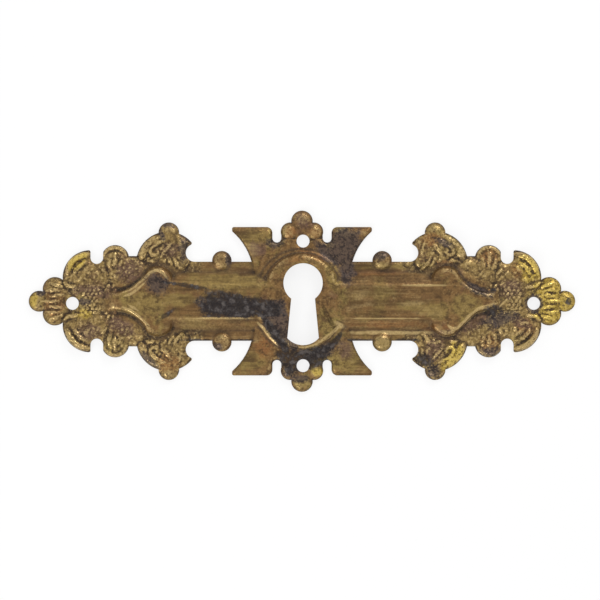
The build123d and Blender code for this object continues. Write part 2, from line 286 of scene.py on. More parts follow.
# Round stains on the plate, as seen from the front: middle, reach along and across, turn and softness
stains = {
    "soot_and_shadow": [
        (-21.4, 2.9, 4.4, 0.4, -9, 0.5),
        (22.6, -11.1, 2.1, 1.2, -35, 0.6),
        (35.4, -1.7, 1.6, 0.9, 10, 0.6),
        (49.5, -0.1, 0.65, 0.6, 0, 0.4),
        (35.5, 2.0, 0.6, 0.5, 0, 0.6),
        (-25.0, -2.4, 1.7, 0.4, 35, 0.6),
        # Painted shadow along the lower edges of the bar's flanges, broken at the beads
        (11.0, -7.25, 2.4, 0.3, 0, 0.6),
        (19.3, -7.25, 2.4, 0.3, 0, 0.6),
        (-11.0, -7.25, 2.4, 0.3, 0, 0.6),
        (-19.3, -7.25, 2.4, 0.3, 0, 0.6),
    ],
    "dusk": [
        (8.0, 10.4, 3.4, 3.4, 10, 0.4),
        (5.4, 8.6, 3.4, 1.3, -35, 0.5),
        (8.3, 5.8, 1.5, 2.8, 10, 0.5),
        (-2.0, -7.0, 1.0, 2.6, 30, 0.5),
        (3.6, -9.6, 3.2, 1.0, 20, 0.5),
        (-26.8, 3.2, 2.0, 1.9, 0, 0.5),
        (-12.9, -1.0, 6.6, 1.9, -5, 0.4),
        (26.2, 10.9, 1.8, 0.6, -20, 0.6),
        (-40.5, -0.1, 1.5, 0.6, 0, 0.5),
        (-21.8, 9.6, 0.9, 2.8, 0, 0.6),
        (-5.0, 10.9, 1.6, 1.0, 0, 0.6),
        (36.8, -3.4, 3.0, 1.3, 10, 0.6),
        (32.9, 2.0, 2.6, 0.8, -25, 0.6),
        # Painted shadow in the right nail hole, heavier on its right side
        (43.1, -0.4, 1.7, 1.7, 0, 0.2),
        (-0.3, -14.3, 1.6, 0.8, 0, 0.6),
        (-2.5, -12.9, 1.3, 1.1, 0, 0.6),
        (14.5, 8.4, 1.4, 0.8, 15, 0.6),
        (-13.7, 7.7, 0.5, 1.3, 0, 0.6),
        (-15.6, -8.4, 1.0, 0.6, -30, 0.6),
        (24.2, -13.0, 1.3, 1.3, 0, 0.6),
        (34.9, -9.4, 1.9, 1.0, 0, 0.6),
        (-28.3, -11.0, 2.2, 0.7, -43, 0.6),
        (-24.8, 14.2, 1.3, 0.6, 0, 0.6),
        (-48.6, 1.6, 0.9, 0.5, 0, 0.6),
        (-26.1, 12.4, 0.5, 1.2, 20, 0.6),
    ],
    "mauve": [
        (31.8, -4.0, 3.4, 1.2, 38, 0.4),
        (38.7, 2.3, 2.3, 1.7, 0, 0.5),
        (-32.0, 5.4, 2.4, 2.0, 0, 0.5),
        (-38.4, 1.9, 3.6, 1.2, 0, 0.5),
        (-39.8, -5.7, 2.2, 1.6, 0, 0.5),
        (-24.6, 9.5, 1.7, 1.3, 0, 0.5),
        (40.6, -3.9, 2.4, 1.0, -20, 0.5),
        (24.5, -9.0, 1.6, 2.4, -20, 0.5),
        (26.5, -6.2, 2.6, 0.9, 0, 0.5),
        (-33.6, -4.6, 2.6, 1.4, -30, 0.5),
        (0.2, 14.7, 1.5, 1.2, 0, 0.6),
        (-8.4, 9.6, 1.6, 1.4, 20, 0.7),
        (8.0, -9.0, 1.4, 1.6, 0, 0.7),
    ],
    "gold": [
        (46.8, 0.2, 4.6, 4.6, 0, 0.3),
        (42.5, 5.8, 2.0, 2.8, 30, 0.5),
        (-41.7, 7.4, 2.1, 1.2, 40, 0.4),
        (28.5, -8.9, 1.6, 1.1, 30, 0.5),
        (28.2, -10.5, 2.8, 1.1, 45, 0.5),
        (-49.9, 0.3, 0.7, 1.4, 0, 0.6),
        (3.0, -13.2, 1.2, 0.9, 0, 0.5),
        (-40.5, -2.4, 1.3, 0.8, 0, 0.6),
    ],
    "olive": [
        (24.7, -1.7, 2.8, 1.6, 0, 0.5),
        (30.2, -1.0, 3.0, 1.9, 0, 0.5),
        (-29.4, -0.7, 4.0, 2.4, 0, 0.4),
        (-22.5, 0.2, 3.0, 1.2, 0, 0.5),
        (5.8, 4.5, 1.4, 2.8, 15, 0.4),
        (24.9, 13.4, 1.5, 1.0, 0, 0.5),
        (28.6, 10.4, 2.4, 1.2, -45, 0.5),
        (-34.8, -8.3, 2.4, 1.9, 0, 0.5),
        (-48.9, 0.0, 1.7, 1.7, 0, 0.5),
        (40.8, -7.6, 2.0, 1.0, 20, 0.5),
        (14.9, -8.0, 1.7, 1.3, 0, 0.5),
        (9.0, -10.4, 3.4, 3.0, 0, 0.5),
        (-9.2, -11.0, 2.6, 1.8, 0, 0.5),
        (-9.6, 11.6, 3.0, 1.6, 0, 0.6),
        (15.0, 1.6, 2.4, 1.2, 0, 0.6),
        (20.5, -0.9, 3.2, 1.0, 0, 0.6),
        (-14.0, 3.6, 7.5, 1.7, -3, 0.6),
        (15.5, 6.5, 7.5, 0.6, 0, 0.8),
    ],
    "orange": [
        (34.9, 8.2, 1.5, 1.7, 0, 0.5),
        (24.2, 11.4, 1.8, 1.2, 0, 0.5),
        (-24.9, -11.3, 2.0, 1.7, 0, 0.5),
        (-2.2, 12.9, 1.0, 0.9, 0, 0.5),
        (-1.0, 8.0, 2.4, 0.6, 14, 0.6),
        (1.8, 8.6, 2.6, 0.7, -22, 0.6),
        (2.6, 12.9, 1.0, 0.9, 0, 0.5),
        (-46.0, -0.6, 1.9, 2.4, 0, 0.4),
        (26.6, 6.9, 1.6, 0.7, 0, 0.5),
        (13.0, 5.3, 5.0, 0.5, 0, 0.9),
        (16.0, -4.3, 6.5, 0.6, 0, 0.7),
        (24.6, -4.9, 2.4, 0.5, 0, 0.9),
        (41.6, -4.8, 1.8, 1.6, 0, 0.5),
        (40.4, 5.6, 1.3, 1.7, 30, 0.6),
        (34.7, -8.0, 1.6, 1.6, 0, 0.5),
        (-7.2, -8.8, 1.5, 1.9, 0, 0.7),
    ],
    "brown": [
        (13.5, 1.9, 6.0, 1.0, 0, 0.8),
        (17.5, -0.2, 7.0, 0.6, 0, 0.8),
        (9.6, -0.6, 2.2, 1.6, 0, 0.8),
        (-46.0, 0.0, 2.0, 2.2, 0, 0.7),
        (15.0, 4.2, 6.5, 0.7, 0, 0.8),
        (35.5, 2.2, 1.9, 1.6, 0, 0.5),
    ],
    "rubbed_and_highlit": [
        # Painted highlights, partly wear, along the edges of the bar's crest and flanges
        (23.2, 2.95, 4.6, 0.2, 0, 0.5),
        (16.0, -5.85, 7.5, 0.35, 0, 0.6),
        (16.0, -3.2, 7.0, 0.15, 0, 0.6),
        (-14.6, -3.15, 6.6, 0.2, 0, 0.5),
        (6.9, -4.4, 1.1, 0.5, -30, 0.6),
    ],
}

# Stains, painted shadows and painted highlights along lines: width, and points with a place and a share of
# the width
line_soft = 0.6
spade_highlight_spread = 1.4
faint_rise = 0.15
groove_shadow_lines = [
    # Painted shadow in the groove under the keyhole's lower lip, and along the boss's lower left edge
    (1.9, [(-1.6, -9.7, 0.8), (0.8, -9.8, 1), (3.4, -9.3, 1), (5.6, -8.0, 0.9), (7.2, -6.0, 0.3)]),
    (1.5, [(-7.0, -3.2, 0.6), (-6.0, -4.8, 1), (-4.6, -6.6, 1), (-3.4, -8.4, 1), (-2.6, -9.6, 0.6)]),
]
crease_shade_lines = [
    # Painted shade in the crease beside the keyhole
    (1.0, [(3.8, -0.7, 0.5), (4.6, -2.4, 1), (5.3, -3.7, 1), (5.9, -4.8, 0.7)]),
]
highlight_lines = [
    # Painted highlights, partly wear, on the lower lip of the keyhole, the edge between the boss and the
    # lower left wing, and the right spade's end
    (0.7, [(-1.2, -8.5, 0.3), (0.6, -8.6, 0.8), (2.4, -8.2, 1), (4.9, -6.5, 1), (6.6, -4.9, 0.8)]),
    (0.6, [(-8.2, -4.0, 0.6), (-7.3, -4.9, 1), (-5.9, -6.5, 1), (-4.5, -8.2, 0.5)]),
    (0.4, [(36.7, -1.0, 0.6), (37.4, -0.3, 1), (38.1, 0.4, 0.5)]),
]

# Colours of old brass and of what lies on it, and of the painted shade and painted highlights on it
tan = (0.203, 0.115, 0.045)
umber = (0.070, 0.041, 0.021)
russet = (0.150, 0.078, 0.046)
olive = (0.280, 0.203, 0.066)
gold = (0.430, 0.295, 0.044)
orange = (0.300, 0.130, 0.045)
mauve = (0.150, 0.088, 0.066)
dusk = (0.088, 0.066, 0.059)
soot_and_shadow = (0.010, 0.009, 0.011)
ash = (0.140, 0.118, 0.108)
deep_shade = (0.034, 0.021, 0.012)
worn_and_highlit = (0.520, 0.375, 0.165)
gold_wear_and_highlight = (0.690, 0.510, 0.095)

# Plain stains in the order in which they lie on the brass: name, colour and strength
plain_stains = [
    ("olive", olive, 0.7),
    ("orange", orange, 0.55),
    ("mauve", mauve, 0.8),
    ("brown", umber, 0.48),
]

# How ragged and how soft the edges of stains are
stain_ragged = 4
stain_soft = 0.7

# Noises of the finish: size, detail and roughness, and the scale that draws streaks out along the bar
noise_middle = 0.5
ragged_noise = (1.6, 4, 0.7)
patch_noise = (4.5, 3, 0.6)
blotch_noise = (2.6, 3, 0.6)
mottle_noise = (1.1, 3, 0.65)
speck_noise = (0.4, 3, 0.75)
brushed_noise = (0.45, 2, 0.6)
brushed_scale = (0.05, 1.0)
drawn_noise = (2.0, 3, 0.6)
drawn_scale = (0.25, 1.0)

# Levels at which something starts and is full, in noises, in heights below or above the sheet nearby,
# and in the way a surface faces
olive_level = (0.5, 0.68)
wear_patches = (0.62, 0.4)
wear_specks = (0.66, 0.4)
line_specks = (0.6, 0.4)
soot_and_shadow_mottle = (0.62, 0.42)
pit_mottle = (0.35, 0.6)
hollow_level = (0.01, 0.12)
ridge_level = (0.03, 0.15)
fine_ridge_level = (0.01, 0.05)
front_facing = (-0.3, 0.3)

# Marks of the finish: levels as above, then strength on the plain sheet and what leaves and bar add to it
russet_blotches = (0.52, 0.66, 0.6, 0, -0.36)
gold_mottle = (0.25, 0.5, 0.9, 0, 0)
dark_brushed = (0.48, 0.66, 0, 0, 0.4)
pale_brushed = (0.44, 0.28, 0, 0, 0.2)
dark_drawn = (0.5, 0.68, 0, 0, 0.75)
pale_drawn = (0.46, 0.3, 0, 0, 0.32)
dark_mottle = (0.46, 0.64, 0.7, 0, -0.4)
pale_mottle = (0.42, 0.26, 0.25, 0, 0)
wide_hollows = (0.1, 0.5, 0, 0.6, 0)
grimy_specks = (0.48, 0.64, 0.3, 0.3, 0)
# Painted shade on slopes that face up the plate
shaded_slopes = (0.62, 0.95, 0.6, 0, 0)
# Painted highlights on slopes that face down the plate
highlit_slopes = (-0.5, -0.9, 0.7, 0, 0)
# Darkening in hollows and fine crevices: painted shade, partly dirt
pit_shade = (0.08, 0.25, 0.7, 0, 0)
crevice_shade = (0.01, 0.06, 0.68, 0, 0)
dark_gold_specks = (0.5, 0.66, 0.6, 0, 0)
# Bright specks on the gold are painted glints
gold_glint_specks = (0.5, 0.36, 0.7, 0, 0)
dusk_specks = (0.46, 0.58, 0.62, 0, 0)
ash_mottle = (0.55, 0.3, 0.7, 0, 0)
black_specks = (0.56, 0.7, 0.38, 0, -0.23)
pale_specks = (0.46, 0.3, 0.3, 0.5, -0.15)

# Strength of what has no levels of its own
olive_on_leaves = 0.5
worn_on_leaves = 0.1
dirt_and_shade_strength = 0.85
crease_shade_strength = 0.6
wear_and_highlight_strength = 0.85
gold_highlight_strength = 0.8
dusk_strength = 0.8
soot_and_shadow_strength = 0.95

# What the bar is spared of olive and of the dirt and painted shade in hollows
olive_off_bar = 0.5
hollows_off_bar = 0.45

# The least that shows of the rubbed lines, which are partly painted highlights, and of the soot and painted
# shadow
line_least = 0.65
soot_and_shadow_least = 0.65

# How much heights count in the dark specks of the gold, which makes them a painted shade in its low places,
# and the specks' part in the mottle of the dusk
gold_speck_height = 2
dusk_speck_part = 0.5

# How much of the pale specks the soot, the painted shadow and the dusk hide
soot_and_shadow_hides = 0.8
dusk_hides = 0.6

# Shine of clean brass, and what dirt, mottle and rubbing change in it
clean_roughness = 0.38
dirt_roughness = 0.28
mottle_roughness = 0.25
rubbed_polish = 0.14
clean_metal = 0.9
dirt_on_metal = 0.5
specular = 0.3

# Fine unevenness of the surface, and the parts of the specks and of the brushed streaks in it
bump_strength = 0.6
bump_depth = 0.1
bump_specks = 0.8
bump_brushed = 0.4

# Table: size, how far below the plate it lies, how pale it is, and its share of plain white to the eye
table_size = 4000
table_drop = 0.02
table_paper = 0.9
table_white = 0.8

# Light of the surroundings, where 1 is white
room_light = 0.9

# Soft square lamps that look at the middle of the plate: place, and power in watts
lamp_size = 130
lamps = {
    "key": ((-230, -310, 260), 0.4),
    "fill": ((170, 340, 260), 0.5),
}

# Camera, straight over the plate
camera_place = (-0.37, 0.23, 620.3)
camera_lens = 200
camera_sensor = 36


def only(piece):
    """Selects one piece and nothing else."""
    bpy.ops.object.select_all(action="DESELECT")
    piece.select_set(True)
    bpy.context.view_layer.objects.active = piece
    return piece


def newest(name):
    """The piece that was just added, under its own name."""
    piece = bpy.context.object
    piece.name = name
    return piece


def settle():
    """Puts the place, turn and scale of what is selected into its mesh."""
    bpy.ops.object.transform_apply(location=True, rotation=True, scale=True)


def copy_of(piece, name):
    """A copy of a piece that stands by itself."""
    only(piece)
    bpy.ops.object.duplicate()
    made = newest(name)
    made.parent = None
    for key in list(made.keys()):
        del made[key]
    return made


def join(pieces, name):
    """One piece made of several."""
    only(pieces[0])
    for piece in pieces:
        piece.select_set(True)
    bpy.ops.object.join()
    return newest(name)


def places_of(piece):
    """The places of a piece's points, one column for each axis, in millimetres."""
    flat = np.empty(3 * len(piece.data.vertices), np.float32)
    piece.data.vertices.foreach_get("co", flat)
    return flat.reshape(-1, 3).T / mm


def edit(piece, chosen=None):
    """Opens a piece for editing, with the points picked that a list of true and false gives."""
    only(piece)
    bpy.ops.object.mode_set(mode="EDIT")
    bpy.ops.mesh.select_mode(type="VERT")
    bpy.ops.mesh.select_all(action="SELECT" if chosen is None else "DESELECT")
    if chosen is not None:
        bpy.ops.object.mode_set(mode="OBJECT")
        piece.data.vertices.foreach_set("select", chosen)
        bpy.ops.object.mode_set(mode="EDIT")


def done():
    """Closes the piece that is open for editing."""
    bpy.ops.object.mode_set(mode="OBJECT")


def apply(piece, kind, **settings):
    """Adds a modifier with its settings and applies it."""
    only(piece)
    modifier = piece.modifiers.new(kind.lower(), kind)
    for key, value in settings.items():
        setattr(modifier, key, value)
    bpy.ops.object.modifier_apply(modifier=modifier.name)


def cut(piece, tool, operation):
    """Cuts a piece with a tool, or adds the tool to it, and uses the tool up."""
    apply(piece, "BOOLEAN", object=tool, operation=operation, solver="MANIFOLD")
    bpy.data.objects.remove(tool)


def four_ways(x, y):
    """A place of the upper right quarter, with its mirror images in the other three."""
    return sorted({(side * x, end * y) for side in (1, -1) for end in (1, -1)})


def mirrored(quarter):
    """A form of the upper right quarter, with its mirror images in the other three."""
    apply(quarter, "MIRROR", use_axis=(True, True, False), use_mirror_merge=False)
    return quarter


def punch(loop):
    """A tall prism on a closed loop."""
    edit(loop)
    bpy.ops.mesh.edge_face_add()
    bpy.ops.mesh.extrude_region_move(TRANSFORM_OT_translate={"value": (0, 0, 4 * press_height * mm)})
    bpy.ops.mesh.select_all(action="SELECT")
    bpy.ops.transform.translate(value=(0, 0, -press_height * mm))
    bpy.ops.mesh.normals_make_consistent(inside=False)
    done()
    return loop


def edge_walls(walls, top):
    """Which faces of the plate are upright and end on its back or, beside the keyhole, on its front."""
    kept = []
    for face in walls.data.polygons:
        heights = [walls.data.vertices[index].co.z / mm for index in face.vertices]
        middle = face.center / mm
        on_back = min(heights) < end_reach
        on_front = max(heights) > top - end_reach
        by_keyhole = math.hypot(middle.x, middle.y) < keyhole_reach
        upright = abs(face.normal.z) < upright_slope
        kept.append(upright and (on_back or (on_front and by_keyhole)))
    return kept


def punches():
    """The plate's edge, and its keyhole and nail holes, as prisms on the loops where its own walls end."""
    walls = copy_of(plate, "walls")
    edit(walls)
    bpy.ops.mesh.remove_doubles(threshold=weld * mm)
    done()
    top = places_of(walls)[2].max()
    kept = edge_walls(walls, top)
    bpy.ops.object.mode_set(mode="EDIT")
    bpy.ops.mesh.select_mode(type="FACE")
    bpy.ops.mesh.select_all(action="DESELECT")
    bpy.ops.object.mode_set(mode="OBJECT")
    walls.data.polygons.foreach_set("select", [not keep for keep in kept])
    bpy.ops.object.mode_set(mode="EDIT")
    bpy.ops.mesh.delete(type="FACE")
    done()
    z = places_of(walls)[2]
    edit(walls, (z > end_reach) & (z < top - end_reach))
    bpy.ops.mesh.delete(type="VERT")
    bpy.ops.mesh.select_all(action="SELECT")
    bpy.ops.transform.resize(value=(1, 1, 0), center_override=(0, 0, 0))
    bpy.ops.mesh.separate(type="LOOSE")
    done()
    loops = sorted(bpy.context.selected_objects, key=lambda loop: -loop.dimensions.x)
    return [punch(loop) for loop in loops]


def round_punch(x, y, r):
    """A tall round rod."""
    bpy.ops.mesh.primitive_cylinder_add(vertices=punch_sides, radius=r * mm, depth=2 * press_height * mm)
    bpy.ops.transform.translate(value=(x * mm, y * mm, press_height * mm))
    return newest("round_punch")


def blank():
    """The flat sheet, trimmed to the plate's edge and pierced."""
    edge, *holes = punches()
    for at_x, at_y, r in beads:
        for x, y in four_ways(at_x, at_y):
            cut(edge, round_punch(x, y, r), "UNION")
    notch_x, notch_y, notch_r = notch
    for x, y in four_ways(notch_x, notch_y):
        cut(edge, round_punch(x, y, notch_r), "DIFFERENCE")
    length, height = (plate.dimensions[axis] / mm + 2 * blank_margin for axis in (0, 1))
    bpy.ops.mesh.primitive_grid_add(
        x_subdivisions=round(length / cell),
        y_subdivisions=round(height / cell),
        size=1,
        location=(0, 0, press_height * mm),
    )
    sheet = newest("escutcheon_sheet")
    sheet.scale = (length * mm, height * mm, 1)
    settle()
    edit(sheet)
    bpy.ops.mesh.extrude_region_move(TRANSFORM_OT_translate={"value": (0, 0, -gauge * mm)})
    bpy.ops.mesh.select_all(action="SELECT")
    bpy.ops.mesh.normals_make_consistent(inside=False)
    done()
    cut(sheet, edge, "INTERSECT")
    for hole in holes:
        cut(sheet, hole, "DIFFERENCE")
    edit(sheet, places_of(sheet)[2] < press_height - gauge / 2)
    bpy.ops.mesh.delete(type="VERT")
    bpy.ops.mesh.select_all(action="SELECT")
    bpy.ops.mesh.remove_doubles(threshold=blank_weld * mm)
    done()
    return sheet


def on_leaves(x, y):
    """True for places on the leaves, clear of the bar and its spades."""
    x, y = np.abs(x), np.abs(y)
    (x0, y0), (x1, y1) = spade_flank
    under_flank = (x < x1) & (y < np.where(x < x0, y0, y0 + (y1 - y0) * (x - x0) / (x1 - x0)))
    mid_x, mid_y, r = spade_round
    on_spade = (np.hypot(x - mid_x, y - mid_y) < r) | under_flank
    return (x > leaves_from) & ~on_spade & ~((y < bar_foot) & (x < mid_x))


def on_beads(x, y):
    """True for places on the beads."""
    x, y = np.abs(x), np.abs(y)
    return np.any([np.hypot(x - at_x, y - at_y) < bead_margin * r for at_x, at_y, r in beads], axis=0)


def level(piece, chosen, height):
    """Brings the chosen points of a piece to one height."""
    edit(piece, chosen)
    bpy.ops.transform.resize(value=(1, 1, 0), center_override=(0, 0, height * mm))
    done()


def struck_form():
    """The plate's own bar, spades and wings, with beads and leaves pressed flat and the boss cut low."""
    form = copy_of(plate, "struck_form")
    edit(form)
    bpy.ops.mesh.remove_doubles(threshold=weld * mm)
    done()
    x, y, z = places_of(form)
    level(form, (on_leaves(x, y) | on_beads(x, y)) & (z > gauge), gauge)
    level(form, z > bar_crest, bar_crest)
    return form


def dome(x, y, reach_x, reach_y, rise, base=gauge, sides=swell_sides):
    """A low round form that stands on the sheet."""
    place = (x * mm, y * mm, base * mm)
    bpy.ops.mesh.primitive_uv_sphere_add(segments=sides, ring_count=sides // 2, radius=1, location=place)
    made = newest("dome")
    made.scale = (reach_x * mm, reach_y * mm, rise * mm)
    settle()
    return made


def cap(x, y, r, rise):
    """A low bead, the top of a larger ball."""
    ball = (r * r + rise * rise) / (2 * rise)
    return dome(x, y, ball, ball, ball, gauge + rise - ball, bead_sides)


def roll(width, rise, points, base=gauge):
    """A half-round roll through points, each with a place and a share of the width."""
    path = bpy.data.curves.new("roll", "CURVE")
    path.dimensions = "3D"
    path.bevel_depth = width / 2 * mm
    path.bevel_resolution = roll_round
    path.resolution_u = roll_steps
    path.use_fill_caps = True
    spline = path.splines.new("BEZIER")
    spline.bezier_points.add(len(points) - 1)
    for point, (x, y, share) in zip(spline.bezier_points, points):
        point.co = (x * mm, y * mm, 0)
        point.radius = share
        point.handle_left_type = "AUTO"
        point.handle_right_type = "AUTO"
    made = bpy.data.objects.new("roll", path)
    bpy.context.collection.objects.link(made)
    only(made)
    bpy.ops.object.convert(target="MESH")
    made.scale.z = 2 * rise / width
    made.location.z = base * mm
    settle()
    return made


def round_roll(middle, r, first, last, width, rise):
    """A roll on an arc, narrow at its ends."""
    turns = np.linspace(0, 1, arc_points)
    angles = np.radians(first + (last - first) * turns)
    shares = rim_end_share + (1 - rim_end_share) * np.sin(np.pi * turns) ** 0.5
    points = [(middle[0] + r * np.cos(a), middle[1] + r * np.sin(a), s) for a, s in zip(angles, shares)]
    return roll(width, rise, points)


def petal(turn):
    """One petal of the rosette."""
    angle = 2 * math.pi * turn / rosette_petals
    inner, outer = petal_reach
    steps = zip((inner, (inner + outer) / 2, outer), petal_shares)
    x, y = rosette
    points = [(x + r * math.cos(angle), y + r * math.sin(angle), share) for r, share in steps]
    return roll(petal_width, petal_rise, points, gauge + vein_foot)


def pebbles():
    """Rows of pebbles between the rosette and the nail hole, every other row set over by half a pitch."""
    made = []
    first_x, first_y = pebble_from
    for row in range(pebble_rows):
        odd = row % 2
        for place in range(pebbles_in_row - odd):
            x = first_x + pebble_pitch * (place + odd / 2)
            y = first_y + pebble_row_pitch * row
            made.append(dome(x, y, pebble_r, pebble_r, pebble_rise, gauge + pebble_foot, pebble_sides))
    return made


def relief():
    """The boss, beads, and the swells, rolls, rosette and pebbles of the leaves, in all four quarters."""
    made = [dome(0, 0, *boss, sides=boss_sides)] + [dome(*swell) for swell in swells]
    made += [roll(*form) for form in rims] + [round_roll(*form) for form in round_rims]
    made += [roll(*form, gauge + vein_foot) for form in veins]
    made += [petal(turn) for turn in range(rosette_petals)] + pebbles()
    made += [cap(x, y, r, bead_rise) for x, y, r in beads]
    made.append(roll(*spade_tip))
    lines = [roll(*line, bar_crest) for line in spade_lines]
    return join([mirrored(join(made, "quarter"))] + lines, "relief")


def bed():
    """The flat ground of the die."""
    bpy.ops.mesh.primitive_plane_add(size=bed_size * mm, location=(0, 0, gauge * mm))
    return newest("bed")


def die():
    """What the sheet is pressed down over."""
    return join([struck_form(), bed(), relief()], "die")


def weigh(sheet, name, weights):
    """Names a group of points, with a weight for each."""
    group = sheet.vertex_groups.new(name=name)
    for index, weight in enumerate(weights):
        group.add([index], float(weight), "REPLACE")


def soften(sheet, passes, **settings):
    """Evens out the heights of the sheet."""
    apply(sheet, "SMOOTH", use_x=False, use_y=False, factor=soften_share, iterations=passes, **settings)


def press(sheet, tool):
    """Lays the sheet down on the die."""
    apply(
        sheet,
        "SHRINKWRAP",
        target=tool,
        wrap_method="PROJECT",
        use_project_z=True,
        use_negative_direction=True,
        use_positive_direction=False,
    )
    bpy.data.objects.remove(tool)
    soften(sheet, soften_passes)
    x, y, _ = places_of(sheet)
    at_x, at_y, reach = tip_end
    weigh(sheet, "tips", np.clip(tip_fade - np.hypot(np.abs(x) - at_x, y - at_y) / reach, 0, 1))
    soften(sheet, tip_passes, vertex_group="tips")
    sheet.vertex_groups.clear()


def spread(sheet, values, passes):
    """Values of the points, each evened out with its neighbours' a number of times."""
    ends = np.empty(2 * len(sheet.data.edges), np.int32)
    sheet.data.edges.foreach_get("vertices", ends)
    one, other = ends.reshape(-1, 2).T
    total = len(values)
    links = np.bincount(one, minlength=total) + np.bincount(other, minlength=total)
    for _ in range(passes):
        near = np.bincount(one, values[other], total) + np.bincount(other, values[one], total)
        values = (values + near / np.maximum(links, 1)) / 2
    return values


def emboss(sheet, texture, depth, **settings):
    """Moves the sheet up and down by a texture."""
    along = {"texture_coords": "LOCAL", "direction": "Z"}
    apply(sheet, "DISPLACE", texture=texture, strength=depth * mm, **along, **settings)


def grain(sheet):
    """Presses the grain of the leaves and a little unevenness into the sheet."""
    x, y, _ = places_of(sheet)
    weigh(sheet, "leaves", spread(sheet, on_leaves(x, y) & ~on_beads(x, y), leaf_fade))
    for size, depth in ((grain_size, grain_depth), (lump_size, lump_depth)):
        pebbled = bpy.data.textures.new("grain", "VORONOI")
        pebbled.noise_scale = size * mm
        pebbled.weight_1 = -1
        pebbled.weight_2 = 1
        emboss(sheet, pebbled, depth, mid_level=grain_middle, vertex_group="leaves")
    uneven = bpy.data.textures.new("dents", "CLOUDS")
    uneven.noise_scale = dent_size * mm
    emboss(sheet, uneven, dent_depth, mid_level=dent_middle)
    sheet.vertex_groups.clear()


def note(sheet, name, values):
    """Keeps a value for each point, which the finish reads."""
    attribute = sheet.data.attributes.new(name, "FLOAT", "POINT")
    attribute.data.foreach_set("value", values.astype(np.float32))


def in_round(x, y, at_x, at_y, reach_x, reach_y, turn, soft):
    """How far inside a round stain places lie: 0 on its edge, and 1 where it is at its full strength."""
    cos, sin = math.cos(math.radians(turn)), math.sin(math.radians(turn))
    along = ((x - at_x) * cos + (y - at_y) * sin) / reach_x
    across = ((y - at_y) * cos - (x - at_x) * sin) / reach_y
    return (1 - np.hypot(along, across)) / soft


def in_patch(x, y, corners):
    """The same for a stain with straight sides, from its corners in turn, anticlockwise."""
    sides = []
    for (x0, y0), (x1, y1) in zip(corners, corners[1:] + corners[:1]):
        inward = (x - x0) * (y0 - y1) + (y - y0) * (x1 - x0)
        sides.append(inward / math.hypot(x1 - x0, y1 - y0))
    return np.min(sides, axis=0) / patch_soft


def in_line(x, y, width, points):
    """The same for a line through points, each with a place and a share of the width."""
    depths = []
    for (x0, y0, share0), (x1, y1, share1) in zip(points, points[1:]):
        step_x, step_y = x1 - x0, y1 - y0
        along = ((x - x0) * step_x + (y - y0) * step_y) / (step_x**2 + step_y**2)
        along = np.clip(along, 0, 1)
        away = np.hypot(x - x0 - along * step_x, y - y0 - along * step_y)
        depths.append(1 - 2 * away / (width * (share0 + (share1 - share0) * along)))
    return np.max(depths, axis=0) / line_soft


def note_heights(sheet, z):
    """Keeps how far each point stands out from the sheet close by and further off."""
    for name, passes in stand_passes.items():
        note(sheet, name, z - spread(sheet, z, passes))


def note_regions(sheet, x, y):
    """Keeps which points lie on the leaves, on all the carving and on the bar, with soft edges."""
    leaves = on_leaves(x, y)
    middle, reach = bar_half
    along_bar = np.abs(np.abs(x) - middle) < reach
    regions = {"leaves": leaves, "carved": leaves | on_beads(x, y), "bar": along_bar & ~leaves}
    for name, inside in regions.items():
        note(sheet, name, spread(sheet, inside.astype(float), region_passes[name]))


def note_stains(sheet, x, y):
    """Keeps how far inside each kind of stain, painted shadow and painted highlight every point lies."""
    depths = {name: [in_round(x, y, *stain) for stain in group] for name, group in stains.items()}
    crest = np.max([in_round(x, y, *stain) for stain in crest_stripe], axis=0)
    depths["soot_and_shadow"].append(np.minimum(crest, (y - crest_edge) / crest_edge_soft))
    depths["soot_and_shadow"] += [in_patch(x, y, corners) for corners in soot_patches]
    depths["soot_and_shadow"] += [in_line(x, y, *line) for line in groove_shadow_lines]
    depths["dusk"] += [in_patch(x, y, corners) for corners in dusk_patches]
    depths["crease_shade"] = [in_line(x, y, *line) for line in crease_shade_lines]
    edges = [(spade_highlight_spread * width, points) for width, rise, points in spade_lines if rise > faint_rise]
    depths["rubbed_and_highlit"] += [in_line(x, y, *line) for line in edges + highlight_lines]
    for name, layers in depths.items():
        note(sheet, name, np.clip(np.max(layers, axis=0), -stain_limit, stain_limit))


def notes(sheet):
    """Keeps what the finish has to know of each point."""
    x, y, z = places_of(sheet).astype(float)
    note_heights(sheet, z)
    note_regions(sheet, x, y)
    note_stains(sheet, x, y)


def thicken(sheet):
    """Rolls the cut edge down and gives the sheet its gauge."""
    edit(sheet)
    bpy.ops.mesh.region_to_loop()
    bpy.ops.transform.translate(
        value=(0, 0, -edge_roll * mm),
        use_proportional_edit=True,
        proportional_edit_falloff="SPHERE",
        proportional_size=edge_roll_reach * mm,
    )
    bpy.ops.mesh.select_all(action="SELECT")
    bpy.ops.mesh.extrude_region_move(TRANSFORM_OT_translate={"value": (0, 0, -gauge * mm)})
    done()
    level(sheet, places_of(sheet)[2] < back_flat, 0)
    edit(sheet)
    bpy.ops.mesh.normals_make_consistent(inside=False)
    done()
    bpy.ops.object.shade_smooth_by_angle(angle=math.radians(crease_angle))


